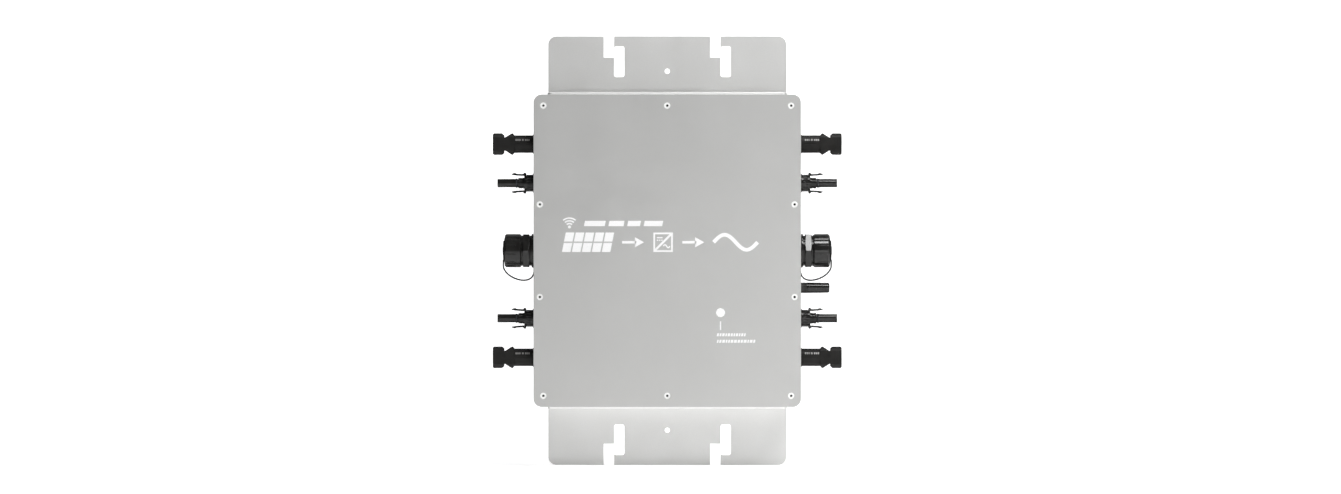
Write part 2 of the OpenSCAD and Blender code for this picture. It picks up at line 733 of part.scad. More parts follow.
module electrolytic_capacitors() color([0.14, 0.16, 0.3]) {
  for (x = [-73, 73], z = [-94, -75, 75, 94]) can(x, z, 8, 19);
  for (x = [-76, -57], z = [-36, 36]) can(x, z, 8.5, 19);
}

module film_capacitors() color("gold")
  for (s = [-1, 1]) {
    on_board(-30, s * 30) translate([-13, -5, 0]) cube([26, 10, 17]);
    on_board(-30, s * 46) translate([-9, -4, 0]) cube([18, 8, 13]);
  }

module relays() color([0.15, 0.25, 0.5])
  for (z = [-30, 30]) on_board(2, z) translate([-10, -8, 0]) cube([20, 16, 15.5]);

// Ring core with a winding whose turns stand out as ridges
module emc_choke() color("darkgreen")
  on_board(34, -34) difference() {
    cylinder(r = 13, h = 14);
    translate([0, 0, -1]) cylinder(r = 6, h = 17);
    for (a = [0 : 24 : 336]) rotate([0, 0, a]) translate([13.4, 0, -1]) cylinder(r = 1, h = 17);
  }

// Power transistors stand at the board's ends and lean on the end walls, which cool them
module power_transistors() color([0.1, 0.1, 0.1])
  for (end = [-1, 1], x = transistors_x) {
    box_at(
      [x, transistor_mid_y, end * (inner_z - pad_t - transistor_t / 2)],
      [transistor_w, transistor_h, transistor_t]
    );
    for (lead = [-5, 0, 5])
      box_at([x + lead, board_y - lead_t / 2, end * (board_h / 2 + 4)], [1.2, lead_t, 14]);
  }

module insulating_pads() color("lightgray")
  for (end = [-1, 1], s = [-1, 1])
    box_at([s * 58, transistor_mid_y, end * (inner_z - pad_t / 2)], [52.2, transistor_h, pad_t]);

module transistor_clamps() color("lightsteelblue")
  for (end = [-1, 1]) {
    clamp_z = inner_z - pad_t - transistor_t - clamp_t / 2;
    for (s = [-1, 1])
      box_at([s * 58, transistor_mid_y, end * clamp_z], [62, 8, clamp_t]);
    for (x = clamp_screws_x)
      translate([x, transistor_mid_y, end * (inner_z - 3.5)]) {
        cylinder(r = m3_r, h = 11, center = true);
        translate([0, 0, -end * 5]) cylinder(r = 2.8, h = 2.4, center = true);
      }
  }

module control_board() color("darkgreen") {
  face_y = board_y - 8;
  translate([56, 0, 30]) facing(face_y, board_t) rounded_rect(40, 30, 2);
  for (x = [39, 73], z = [18, 42]) on_board(x, z) cylinder(r = 1.5, h = 8 + eps);
  translate([54, 0, 30]) facing(face_y - board_t + eps, 1.5) square(12, center = true);
}

radio_lift = 2.8;
radio_t = 1.2;
radio_front_y = board_y - radio_lift - radio_t;

module radio_module() color("royalblue") translate([76, 0, -26]) {
  facing(board_y - radio_lift, radio_t) square([20, 24], center = true);
  for (z = [-10.5, 10.5])
    translate([0, 0, z]) facing(board_y, radio_lift + eps) square([18, 2.4], center = true);
  translate([-1, 0, -5]) facing(radio_front_y + eps, 2) square([14, 12], center = true);
}

// Coaxial lead from the antenna jack to a plug on the radio module
module antenna_pigtail() color([0.15, 0.15, 0.15]) {
  lead_r = 0.8;
  bend = 5;
  tail_x = wall_x - jack_in;
  first_bend_x = tail_x - 8;
  plug_x = 80;
  plug_z = antenna_z + 2 * bend;
  translate([first_bend_x, port_y, antenna_z]) rotate([0, 90, 0])
    cylinder(r = lead_r, h = tail_x - first_bend_x);
  translate([first_bend_x, port_y, antenna_z + bend]) rotate([90, 0, 0]) rotate([0, 0, 180])
    wire_bend(bend, lead_r);
  translate([first_bend_x - 2 * bend, port_y, antenna_z + bend]) rotate([90, 0, 0]) wire_bend(bend, lead_r);
  translate([plug_x, port_y, plug_z]) rotate([0, 90, 0])
    cylinder(r = lead_r, h = first_bend_x - 2 * bend - plug_x);
  translate([plug_x, radio_front_y, plug_z]) rotate([90, 0, 0])
    cylinder(r = 1.7, h = radio_front_y - port_y + lead_r);
}

// Lead from a connector's tail, bent down onto the board
module dc_wire(side, z) {
  tail_x = wall_x - dc_stub_l - 4;
  pad_x = 86;
  bend = 4;
  wire_r = 1.6;
  mirror([side == LEFT ? 1 : 0, 0, 0]) {
    translate([pad_x + bend, port_y, z]) rotate([0, 90, 0]) cylinder(r = wire_r, h = tail_x - pad_x - bend);
    translate([pad_x + bend, port_y + bend, z]) rotate([0, 0, 180]) wire_bend(bend, wire_r);
    translate([pad_x, port_y + bend - eps, z]) rotate([-90, 0, 0])
      cylinder(r = wire_r, h = board_y - port_y - bend + eps);
  }
}

module dc_wires() color("firebrick")
  for (side = [LEFT, RIGHT], z = [receptacle_z, plug_z, -plug_z, -receptacle_z]) dc_wire(side, z);

// The AC trunk passes straight through from one port to the other, with a tap to the board
module ac_bus_wires() color("saddlebrown") {
  tail_x = wall_x - side_wall_t - ac_nut_t - 6;
  for (a = [90 : 120 : 330]) {
    wire_y = port_y + ac_contact_ring * sin(a);
    wire_z = -ac_contact_ring * cos(a);
    translate([0, wire_y, wire_z]) rotate([0, 90, 0]) cylinder(r = 1.5, h = 2 * tail_x, center = true);
    on_board(0, wire_z) cylinder(r = 0.8, h = board_y - wire_y);
  }
}

// ---------- assembly ----------

cover();
cover_gasket();
cover_screws();
housing();
bracket_top();
bracket_bottom();
bracket_screws();
status_window();
status_led();

on_wall(LEFT, receptacle_z) dc_receptacle();  // dc_receptacle_left_top
on_wall(LEFT, -receptacle_z) dc_receptacle();  // dc_receptacle_left_bottom
on_wall(RIGHT, receptacle_z) dc_receptacle();  // dc_receptacle_right_top
on_wall(RIGHT, -receptacle_z) dc_receptacle();  // dc_receptacle_right_bottom
on_wall(LEFT, plug_z) dc_plug();  // dc_plug_left_upper
on_wall(LEFT, -plug_z) dc_plug();  // dc_plug_left_lower
on_wall(RIGHT, plug_z) dc_plug();  // dc_plug_right_upper
on_wall(RIGHT, -plug_z) dc_plug();  // dc_plug_right_lower
latch(LEFT, UP, UP);  // latch_left_upper_a
latch(LEFT, UP, DOWN);  // latch_left_upper_b
latch(LEFT, DOWN, UP);  // latch_left_lower_a
latch(LEFT, DOWN, DOWN);  // latch_left_lower_b
latch(RIGHT, UP, UP);  // latch_right_upper_a
latch(RIGHT, UP, DOWN);  // latch_right_upper_b
latch(RIGHT, DOWN, UP);  // latch_right_lower_a
latch(RIGHT, DOWN, DOWN);  // latch_right_lower_b
dc_pin_contacts();
dc_socket_contacts();
dc_plug_orings();
panel_gaskets();
lock_nuts();

on_wall(LEFT, 0) ac_port();  // ac_port_left
on_wall(RIGHT, 0) ac_port();  // ac_port_right
ac_port_contacts();
on_wall(LEFT, 0) ac_cap();  // ac_cap_left
on_wall(RIGHT, 0) ac_cap();  // ac_cap_right
on_wall(LEFT, 0) ac_cap_seal();  // ac_cap_seal_left
on_wall(RIGHT, 0) ac_cap_seal();  // ac_cap_seal_right
on_wall(LEFT, 0) ac_cap_button();  // ac_cap_button_left
on_wall(RIGHT, 0) ac_cap_button();  // ac_cap_button_right
on_wall(LEFT, 0) ac_tether();  // ac_tether_left
on_wall(RIGHT, 0) ac_tether();  // ac_tether_right

on_wall(RIGHT, antenna_z) antenna_stub();
on_wall(RIGHT, antenna_z) antenna_collar();
on_wall(RIGHT, antenna_z) antenna_jack();
antenna_pigtail();

main_board();
board_screws();
transformer_cores();
transformer_windings();
electrolytic_capacitors();
film_capacitors();
power_transistors();
transistor_clamps();
insulating_pads();
control_board();
radio_module();
relays();
emc_choke();
dc_wires();
ac_bus_wires();
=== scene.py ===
"""Looks of the four-input micro inverter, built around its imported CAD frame. Metres."""
import json
import math
import random

import bmesh
import bpy
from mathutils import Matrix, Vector


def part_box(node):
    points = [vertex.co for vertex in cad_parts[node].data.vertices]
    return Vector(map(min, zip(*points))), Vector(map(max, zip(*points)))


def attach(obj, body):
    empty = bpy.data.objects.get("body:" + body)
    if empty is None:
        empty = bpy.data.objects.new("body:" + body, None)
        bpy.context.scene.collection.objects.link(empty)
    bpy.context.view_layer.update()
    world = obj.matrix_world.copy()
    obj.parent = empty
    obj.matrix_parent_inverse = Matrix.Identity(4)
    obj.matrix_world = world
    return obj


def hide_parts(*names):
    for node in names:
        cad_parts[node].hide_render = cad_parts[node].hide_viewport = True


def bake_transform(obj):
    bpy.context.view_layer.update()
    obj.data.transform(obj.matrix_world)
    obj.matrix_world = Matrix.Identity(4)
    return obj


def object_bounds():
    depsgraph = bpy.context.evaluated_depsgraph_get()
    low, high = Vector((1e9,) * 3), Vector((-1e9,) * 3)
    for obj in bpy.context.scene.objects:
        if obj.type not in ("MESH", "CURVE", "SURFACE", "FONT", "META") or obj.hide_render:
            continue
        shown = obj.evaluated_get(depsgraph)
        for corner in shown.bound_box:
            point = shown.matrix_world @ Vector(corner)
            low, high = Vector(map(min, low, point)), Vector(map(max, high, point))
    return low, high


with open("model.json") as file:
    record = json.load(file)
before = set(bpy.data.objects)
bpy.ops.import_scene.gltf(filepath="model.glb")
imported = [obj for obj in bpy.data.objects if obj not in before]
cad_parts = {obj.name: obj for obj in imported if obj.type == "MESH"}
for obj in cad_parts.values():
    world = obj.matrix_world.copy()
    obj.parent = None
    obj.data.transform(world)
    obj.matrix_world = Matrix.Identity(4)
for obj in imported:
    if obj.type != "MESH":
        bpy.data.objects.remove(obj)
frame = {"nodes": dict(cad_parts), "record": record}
CAD_LOW, CAD_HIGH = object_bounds()
NODES = frame["nodes"]
MM = 0.001

# Places read from the frame
COVER_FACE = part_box("cover")[0].y
SHEARED_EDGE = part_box("bracket_top")[0].y + 0.3 * MM
SOCKET_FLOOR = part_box("cover_screws")[0].y + 0.25 * MM
PORT_LOW, PORT_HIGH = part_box("ac_port_right")
PORT_Y = (PORT_LOW.y + PORT_HIGH.y) / 2
WINDOW_LOW, WINDOW_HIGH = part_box("status_window")
WINDOW_X = (WINDOW_LOW.x + WINDOW_HIGH.x) / 2


# ---------------------------------------------------------------- materials

class Shader:
    """A node material under construction: add() makes a node and wires its inputs."""

    def __init__(self, name):
        self.material = bpy.data.materials.new(name)
        self.material.use_nodes = True
        self.tree = self.material.node_tree
        self.tree.nodes.clear()
        self.coords = self.add("TexCoord").outputs["Object"]

    def add(self, kind, **settings):
        """Inputs are given by name with spaces as underscores, or by place as i0, i1 and so on.

        A socket is linked, and a value is set.
        """
        node = self.tree.nodes.new("ShaderNode" + kind)
        for key, value in settings.items():
            if hasattr(node, key) and not isinstance(value, bpy.types.NodeSocket):
                setattr(node, key, value)
                continue
            if key[1:].isdigit():
                socket = node.inputs[int(key[1:])]
            else:
                socket = node.inputs[key.replace("_", " ")]
            if isinstance(value, bpy.types.NodeSocket):
                self.tree.links.new(value, socket)
            else:
                socket.default_value = value
        return node

    def noise(self, size, detail=3.0, stretch=None, seed=0.0):
        """Noise with patches about size metres across. A stretch below 1 lengthens them on that axis."""
        where = self.coords
        if stretch or seed:
            where = self.add("Mapping", Vector=where, Scale=stretch or (1, 1, 1), Location=(seed,) * 3)
            where = where.outputs[0]
        made = self.add("TexNoise", Vector=where, Scale=1 / size, Detail=detail, Roughness=0.55)
        return made.outputs["Fac"]

    def ramp(self, value, low, high, to_low=0.0, to_high=1.0):
        made = self.add("MapRange", Value=value, From_Min=low, From_Max=high, To_Min=to_low, To_Max=to_high)
        return made.outputs[0]

    def maths(self, operation, a, b):
        node = self.add("Math", i0=a, i1=b)
        node.operation = operation
        return node.outputs[0]

    def mix(self, factor, a, b):
        node = self.add("Mix")
        node.data_type = "RGBA"
        for key, value in (("Factor", factor), ("A", a), ("B", b)):
            socket = [s for s in node.inputs if s.name == key and s.enabled][0]
            if isinstance(value, bpy.types.NodeSocket):
                self.tree.links.new(value, socket)
            else:
                socket.default_value = value if key == "Factor" else tuple(value) + (1,) * (4 - len(value))
        return [s for s in node.outputs if s.enabled][0]

    def bump(self, height, distance):
        return self.add("Bump", Height=height, Distance=distance, Strength=1.0).outputs[0]

    def edges(self, radius):
        """1 on rounded and sharp edges, 0 on flats: the flat normal compared with a rounded one."""
        rounded = self.add("Bevel", Radius=radius, samples=4).outputs[0]
        flat = self.add("NewGeometry").outputs["Normal"]
        dot = self.add("VectorMath", i0=rounded, i1=flat)
        dot.operation = "DOT_PRODUCT"
        return self.ramp(dot.outputs["Value"], 0.995, 0.93)

    def recesses(self, reach):
        """1 deep in holes and corners, 0 on open faces."""
        open_sky = self.add("AmbientOcclusion", Distance=reach, samples=6, only_local=False)
        return self.ramp(open_sky.outputs["AO"], 0.75, 0.35)

    def beyond(self, axis, start, width=0.0005):
        """0 below start along an axis of the frame, rising to 1 within width."""
        place = self.add("SeparateXYZ", Vector=self.coords).outputs[axis]
        return self.ramp(place, start, start + width)

    def rim(self, level, hollow=None):
        """Specular level that fades where a surface turns away and in hollows.

        It keeps outlines and grooves dark on a white sweep.
        """
        facing = self.add("LayerWeight", Blend=0.5).outputs["Facing"]
        level = self.ramp(facing, 0.35, 0.75, level, 0.0)
        if hollow is None:
            return level
        return self.maths("MULTIPLY", level, self.ramp(hollow, 0.1, 0.7, 1.0, 0.1))

    def finish(self, **settings):
        bsdf = self.add("BsdfPrincipled", **settings)
        self.add("OutputMaterial", Surface=bsdf.outputs[0])
        return self.material


def shade(colour, factor):
    return tuple(min(1.0, c * factor) for c in colour)


def surface(name, colour, rough, metal=0.0, patch=0.03, drift=0.06, depth=0.00001, worn=0.0, coat=0.0):
    """A procedural finish: soft colour patches, smudged roughness, a bumped grain, rubbed edges."""
    s = Shader(name)
    patches = s.noise(patch, detail=5)
    base = s.mix(s.ramp(patches, 0.35, 0.65), shade(colour, 1 - drift), shade(colour, 1 + drift))
    grain = s.noise(0.0006, detail=2, seed=3.1)
    base = s.mix(s.ramp(grain, 0.3, 0.7, 0.0, 0.5), base, s.mix(0.5, base, shade(colour, 1 - 1.5 * drift)))
    roughness = s.ramp(s.noise(patch * 0.6, detail=6, seed=7.7), 0.3, 0.7, rough - 0.1, rough + 0.1)
    if worn:
        rub = s.maths("MULTIPLY", s.edges(0.0006), s.ramp(s.noise(0.004, seed=1.3), 0.4, 0.6))
        rub = s.maths("MULTIPLY", rub, worn)
        base = s.mix(rub, base, shade(colour, 1.5))
    return s.finish(Base_Color=base, Roughness=roughness, Metallic=metal, Normal=s.bump(grain, depth),
                    Coat_Weight=coat)


def blasted_aluminium(name, colour, bare_and_highlight_before=None):
    """Bead-blasted, clear anodised sheet: a sparkle of grain over slow, cloudy tone changes.

    Faces in front of a given depth along Y are the freshly sheared edges, painted near white: partly bare
    metal, partly painted highlight where the edge catches light.
    """
    s = Shader(name)
    clouds = s.noise(0.09, detail=4)
    base = s.mix(s.ramp(clouds, 0.3, 0.7), shade(colour, 0.975), shade(colour, 1.025))
    grain = s.noise(0.00035, detail=2, seed=2.0)
    base = s.mix(s.ramp(grain, 0.35, 0.65, 0.0, 0.6), base, s.mix(0.6, base, shade(colour, 0.88)))
    handled = s.noise(0.03, detail=6, seed=9.0)
    roughness = s.ramp(handled, 0.3, 0.7, 0.43, 0.52)
    rub = s.maths("MULTIPLY", s.edges(0.0005), 0.35)
    base = s.mix(rub, base, (0.9, 0.9, 0.9))
    metal = 0.72
    if bare_and_highlight_before is not None:
        # Bare metal and painted highlight: the sheared edges are painted near white.
        bare_and_highlight = s.maths("SUBTRACT", 1.0, s.beyond("Y", bare_and_highlight_before))
        base = s.mix(bare_and_highlight, base, (1.0, 1.0, 0.99))
        metal = s.ramp(bare_and_highlight, 0, 1, metal, 0.1)
    normal = s.bump(grain, 0.000012)
    return s.finish(Base_Color=base, Roughness=roughness, Metallic=metal, Normal=normal)


def cast_aluminium(name, colour):
    """Die-cast skin: flow marks along the metal's path, fine pits, brighter rubbed edges."""
    s = Shader(name)
    flow = s.noise(0.012, detail=6, stretch=(1, 1, 0.25))
    base = s.mix(s.ramp(flow, 0.3, 0.7), shade(colour, 0.86), shade(colour, 1.08))
    pits = s.noise(0.0009, detail=4, seed=4.0)
    roughness = s.ramp(flow, 0.3, 0.7, 0.38, 0.6)
    rub = s.maths("MULTIPLY", s.edges(0.0007), s.ramp(s.noise(0.003, seed=6.0), 0.35, 0.6, 0.2, 0.9))
    base = s.mix(rub, base, (0.82, 0.82, 0.83))
    normal = s.bump(pits, 0.00004)
    return s.finish(Base_Color=base, Roughness=roughness, Metallic=0.85, Normal=normal)


def moulded(name, colour, rough, grain=0.0005, depth=0.000008, gloss=0.4, wear_and_highlight=0.03):
    """Injection-moulded plastic: eroded texture, lighter edges that are partly greying from handling and
    partly painted highlight, a soft gloss.
    """
    s = Shader(name)
    tone = s.noise(0.012, detail=5)
    base = s.mix(s.ramp(tone, 0.3, 0.7), shade(colour, 0.75), shade(colour, 1.25))
    texture = s.noise(grain, detail=3, seed=2.0)
    roughness = s.ramp(s.noise(0.006, detail=6, seed=8.0), 0.3, 0.7, rough - 0.04, rough + 0.07)
    # Lighter edges: handling wear, and where strongly lightened, as on the AC caps, a painted highlight of
    # edges catching light.
    rub = s.maths("MULTIPLY", s.edges(0.00025), s.ramp(s.noise(0.002, seed=1.0), 0.45, 0.7, 0.0, 0.6))
    base = s.mix(rub, base, tuple(c + wear_and_highlight for c in colour))
    hollow = s.recesses(0.003)
    dust = s.maths("MULTIPLY", hollow, s.ramp(s.noise(0.0015, detail=5, seed=4.0), 0.4, 0.7))
    base = s.mix(s.maths("MULTIPLY", dust, 0.06), base, (0.12, 0.115, 0.105))
    return s.finish(Base_Color=base, Roughness=roughness, Normal=s.bump(texture, depth),
                    Specular_IOR_Level=s.rim(gloss, hollow))


def rubber(name, colour):
    """Soft rubber: dull, slightly dusty in patches."""
    s = Shader(name)
    dust = s.ramp(s.noise(0.005, detail=6), 0.45, 0.75, 0.0, 0.5)
    base = s.mix(dust, colour, shade(colour, 2.2))
    roughness = s.ramp(s.noise(0.003, detail=4, seed=3.0), 0.3, 0.7, 0.5, 0.72)
    normal = s.bump(s.noise(0.0008, detail=3, seed=5.0), 0.00002)
    return s.finish(Base_Color=base, Roughness=roughness, Normal=normal, Specular_IOR_Level=s.rim(0.3))


def plated_steel(name, colour, rough, metal=1.0, painted_shade_behind=None):
    """Zinc or nickel plate with turning marks and a few darker stains.

    Behind a given depth along Y, the drive socket's floor is painted near black: painted shade in the recess.
    """
    s = Shader(name)
    stain = s.ramp(s.noise(0.0016, detail=5), 0.45, 0.7)
    base = s.mix(stain, colour, shade(colour, 0.9))
    turned = s.noise(0.0002, detail=2, stretch=(1, 6, 1), seed=2.0)
    roughness = s.ramp(turned, 0.3, 0.7, rough - 0.08, rough + 0.12)
    if painted_shade_behind is not None:
        # Painted shade: the socket's floor is painted near black.
        base = s.mix(s.beyond("Y", painted_shade_behind, 0.0002), base, (0.02, 0.02, 0.02))
    return s.finish(Base_Color=base, Roughness=roughness, Metallic=metal, Normal=s.bump(turned, 0.000004))


def circuit_board(name, colour, copper):
    """Solder mask over copper: traces show as slightly lighter and raised runs, with tinned dots."""
    s = Shader(name)
    cells = s.add("TexVoronoi", Vector=s.coords, Scale=1 / 0.006)
    cells.distance = "CHEBYCHEV"
    run = s.ramp(cells.outputs["Distance"], 0.34, 0.36)
    pour = s.ramp(s.noise(0.03, detail=1), 0.5, 0.52)
    trace = s.maths("MAXIMUM", run, pour)
    base = s.mix(trace, shade(colour, 0.75), shade(colour, 1.25))
    dots = s.add("TexVoronoi", Vector=s.coords, Scale=1 / 0.0045)
    tinned = s.ramp(dots.outputs["Distance"], 0.11, 0.1)
    base = s.mix(tinned, base, copper)
    roughness = s.ramp(s.noise(0.004, detail=5, seed=3.0), 0.3, 0.7, 0.22, 0.4)
    height = s.maths("ADD", trace, tinned)
    return s.finish(Base_Color=base, Roughness=roughness, Metallic=s.maths("MULTIPLY", tinned, 0.9),
                    Normal=s.bump(height, 0.00003), Coat_Weight=0.3)


def wound_copper(name, colour):
    """Enamelled wire laid turn on turn: fine regular ridges across the winding."""
    s = Shader(name)
    pitch = 0.0009
    wave = s.add("TexWave", Vector=s.coords, Scale=1 / pitch / 20, Distortion=0.4, bands_direction="Y")
    turns = wave.outputs["Fac"]
    base = s.mix(turns, shade(colour, 0.55), shade(colour, 1.1))
    roughness = s.ramp(s.noise(0.002, detail=4), 0.3, 0.7, 0.2, 0.38)
    return s.finish(Base_Color=base, Roughness=roughness, Metallic=0.6, Normal=s.bump(turns, 0.0002))


def frosted(name):
    """Frosted polycarbonate light guide. Its faint glow is painted light that brightens it."""
    s = Shader(name)
    milk = s.mix(s.ramp(s.noise(0.003, detail=4), 0.3, 0.7), (0.93, 0.94, 0.93), (0.99, 0.99, 0.99))
    roughness = s.ramp(s.noise(0.0008, detail=3, seed=2.0), 0.3, 0.7, 0.18, 0.4)
    # Painted light: a faint glow that brightens the window.
    return s.finish(Base_Color=milk, Roughness=roughness, Transmission_Weight=0.25, IOR=1.58,
                    Normal=s.bump(s.noise(0.0004), 0.000008), Emission_Color=(1, 1, 1, 1),
                    Emission_Strength=0.12)


def printed_ink(name):
    """White screen print: nearly solid, thinner and greyer in specks."""
    s = Shader(name)
    specks = s.ramp(s.noise(0.0007, detail=4), 0.55, 0.8, 0.0, 0.6)
    base = s.mix(specks, (0.93, 0.93, 0.93), (0.72, 0.72, 0.72))
    roughness = s.ramp(s.noise(0.002, detail=4, seed=4.0), 0.3, 0.7, 0.5, 0.7)
    return s.finish(Base_Color=base, Roughness=roughness, Normal=s.bump(s.noise(0.0003, seed=6.0), 0.000005))


BLACK = (0.0155, 0.0150, 0.0142)
ANTENNA_BLACK = (0.013, 0.013, 0.012)
MATERIALS = {
    "cover_aluminium": blasted_aluminium("cover_aluminium", (0.582, 0.582, 0.573)),
    # The brackets are the cover's anodised sheet in a lighter colour: painted light that brightens the tabs,
    # which lie in shade behind the cover.
    "bracket_aluminium": blasted_aluminium("bracket_aluminium", (0.735, 0.735, 0.725), SHEARED_EDGE),
    "cast_aluminium": cast_aluminium("cast_aluminium", (0.5, 0.5, 0.51)),
    "screw_steel": plated_steel("screw_steel", (0.9, 0.9, 0.89), 0.35),
    # A near-white, hardly metallic copy of the screw steel: painted highlight for the light the cover screws'
    # heads reflect.
    "cover_screw_highlight_steel": plated_steel("cover_screw_highlight_steel", (0.98, 0.98, 0.97), 0.4, 0.3, SOCKET_FLOOR),
    "clamp_steel": plated_steel("clamp_steel", (0.6, 0.62, 0.65), 0.35),
    "connector_black": moulded("connector_black", BLACK, 0.15, gloss=0.35),
    "receptacle_black": moulded("receptacle_black", BLACK, 0.5, depth=0.000014, gloss=0.15),
    # Its strongly lightened edges are painted highlight: the caps' edge lines that catch the light.
    "port_black": moulded("port_black", BLACK, 0.13, grain=0.0006, depth=0.000003, wear_and_highlight=0.12),
    "nut_nylon": moulded("nut_nylon", (0.03, 0.03, 0.033), 0.45),
    "antenna_rubber": moulded("antenna_rubber", ANTENNA_BLACK, 0.11),
    "antenna_knurl": moulded("antenna_knurl", ANTENNA_BLACK, 0.34),
    "soft_rubber": rubber("soft_rubber", (0.022, 0.023, 0.026)),
    "contact_metal": plated_steel("contact_metal", (0.92, 0.76, 0.42), 0.2),
    "window_clear": frosted("window_clear"),
    "led_epoxy": surface("led_epoxy", (0.75, 0.9, 0.8), 0.2, coat=0.5),
    "board_green": circuit_board("board_green", (0.012, 0.12, 0.05), (0.8, 0.78, 0.7)),
    "radio_board": circuit_board("radio_board", (0.01, 0.04, 0.16), (0.85, 0.7, 0.35)),
    "ferrite": surface("ferrite", (0.035, 0.035, 0.037), 0.55, metal=0.2, drift=0.2, depth=0.00003, worn=0.6),
    "winding_tape": surface("winding_tape", (0.75, 0.42, 0.05), 0.3, patch=0.01, drift=0.1, coat=0.4),
    "choke_enamel": wound_copper("choke_enamel", (0.55, 0.2, 0.06)),
    "can_sleeve": surface("can_sleeve", (0.02, 0.025, 0.07), 0.3, patch=0.01, drift=0.15, coat=0.3),
    "film_epoxy": surface("film_epoxy", (0.7, 0.5, 0.06), 0.45, patch=0.01, drift=0.1),
    "relay_shell": surface("relay_shell", (0.02, 0.06, 0.25), 0.4, patch=0.01, drift=0.12, worn=0.3),
    "transistor_epoxy": surface("transistor_epoxy", (0.02, 0.02, 0.021), 0.55, drift=0.2, depth=0.00002),
    "pad_silicone": surface("pad_silicone", (0.5, 0.5, 0.53), 0.65, patch=0.01, drift=0.08),
    "wire_red": surface("wire_red", (0.45, 0.02, 0.015), 0.38, patch=0.01, drift=0.12),
    "wire_brown": surface("wire_brown", (0.16, 0.06, 0.025), 0.38, patch=0.01, drift=0.12),
    "coax_black": surface("coax_black", (0.02, 0.02, 0.02), 0.42, patch=0.01, drift=0.2),
    "print_white": printed_ink("print_white"),
    # Light grey on the black barrel: painted highlight where the moulded marks catch the key light.
    "highlighted_mark": moulded("highlighted_mark", (0.24, 0.235, 0.23), 0.25, grain=0.0003),
}


# ---------------------------------------------------------------- mesh helpers

def new_object(name, mesh, material):
    obj = bpy.data.objects.new(name, mesh)
    bpy.context.scene.collection.objects.link(obj)
    mesh.materials.append(MATERIALS[material])
    return obj


def from_bmesh(name, bm, material, smooth=True):
    bmesh.ops.recalc_face_normals(bm, faces=bm.faces)
    mesh = bpy.data.meshes.new(name)
    bm.to_mesh(mesh)
    bm.free()
    for polygon in mesh.polygons:
        polygon.use_smooth = smooth
    return new_object(name, mesh, material)


def round_edges(obj, width, clamp=True):
    """Bevels every edge sharper than 30 degrees, and shades the flats flat.

    With clamp, the mesh's shortest edge limits the width everywhere.
    """
    bevel = obj.modifiers.new("round", "BEVEL")
    bevel.use_clamp_overlap = clamp
    bevel.width = width
    bevel.segments = 2
    bevel.limit_method = "ANGLE"
    bevel.angle_limit = math.radians(30)
    bevel.miter_outer = "MITER_ARC"
    normals = obj.modifiers.new("normals", "WEIGHTED_NORMAL")
    normals.keep_sharp = True


def dress_cad_node(name, material, width):
    """Gives a CAD node its material and softened edges. Its own vertices stay as they are."""
    obj = NODES[name]
    obj.data.materials.clear()
    obj.data.materials.append(MATERIALS[material])
    if obj.data.has_custom_normals:
        obj.data.attributes.remove(obj.data.attributes["custom_normal"])
    for polygon in obj.data.polygons:
        polygon.use_smooth = True
    weld = obj.modifiers.new("weld", "WELD")
    weld.merge_threshold = 1e-6
    flats = obj.modifiers.new("flats", "DECIMATE")
    flats.decimate_type = "DISSOLVE"
    flats.angle_limit = math.radians(0.4)
    if width:
        round_edges(obj, width, clamp=name not in FINE_DETAIL)


def prism(bm, outline, y_back, depth):
    """A closed block between y_back and y_back - depth whose outline is (x, z) points."""
    back = [bm.verts.new((x, y_back, z)) for x, z in outline]
    front = [bm.verts.new((x, y_back - depth, z)) for x, z in outline]
    bm.faces.new(back)
    bm.faces.new(front[::-1])
    for i in range(len(outline)):
        j = (i + 1) % len(outline)
        bm.faces.new((back[i], front[i], front[j], back[j]))


# ---------------------------------------------------------------- CAD nodes

# Edge rounding in metres, and the nodes that get it
ROUNDING = {
    0.0004: ["cover"],
    0.0003: ["bracket_top", "bracket_bottom", "housing"],
    0.00013: ["ac_port_left", "ac_port_right"],
    0.00018: ["ac_cap_left", "ac_cap_right"],
    0.0002: [n for n in NODES if n.startswith(("dc_receptacle", "dc_plug_left", "dc_plug_right", "relays",
                                               "film", "transformer_cores", "power_transistors"))],
    0.00012: [n for n in NODES if n.startswith(("latch", "antenna", "ac_cap_button", "lock_nuts"))],
    0.0001: ["cover_screws", "bracket_screws", "board_screws", "status_window"],
}

# Nodes whose shortest edges would stop the rounding if they limited it
FINE_DETAIL = ("ac_port_left", "ac_port_right", "antenna_collar")

# Nodes whose finish differs from their slot in the record
OWN_FINISH = {name: "receptacle_black" for name in NODES if name.startswith("dc_receptacle")}
# The cover screws take the painted-highlight copy of the screw steel.
OWN_FINISH["cover_screws"] = "cover_screw_highlight_steel"


def dress_all_nodes():
    widths = {name: width for width, names in ROUNDING.items() for name in names}
    for part in frame["record"]["subparts"]:
        name = part["node"]
        slot = part["material_slot"]
        dress_cad_node(name, OWN_FINISH.get(name, slot), widths.get(name, 0.0))


# ---------------------------------------------------------------- tethers

def bezier(points, t):
    a, b, c, d = points
    s = 1 - t
    return s**3 * a + 3 * s * s * t * b + 3 * s * t * t * c + t**3 * d


def revolved(bm, centre, profile, steps=64):
    """A closed ring about the X axis through centre. The profile is (x, radius) points."""
    rings = []
    for i in range(steps):
        turn = 2 * math.pi * i / steps
        rings.append([
            bm.verts.new((centre.x + x, centre.y + r * math.sin(turn), centre.z + r * math.cos(turn)))
            for x, r in profile
        ])
    for i in range(steps):
        here, there = rings[i], rings[(i + 1) % steps]
        for k in range(len(profile)):
            n = (k + 1) % len(profile)
            bm.faces.new((here[k], here[n], there[n], there[k]))


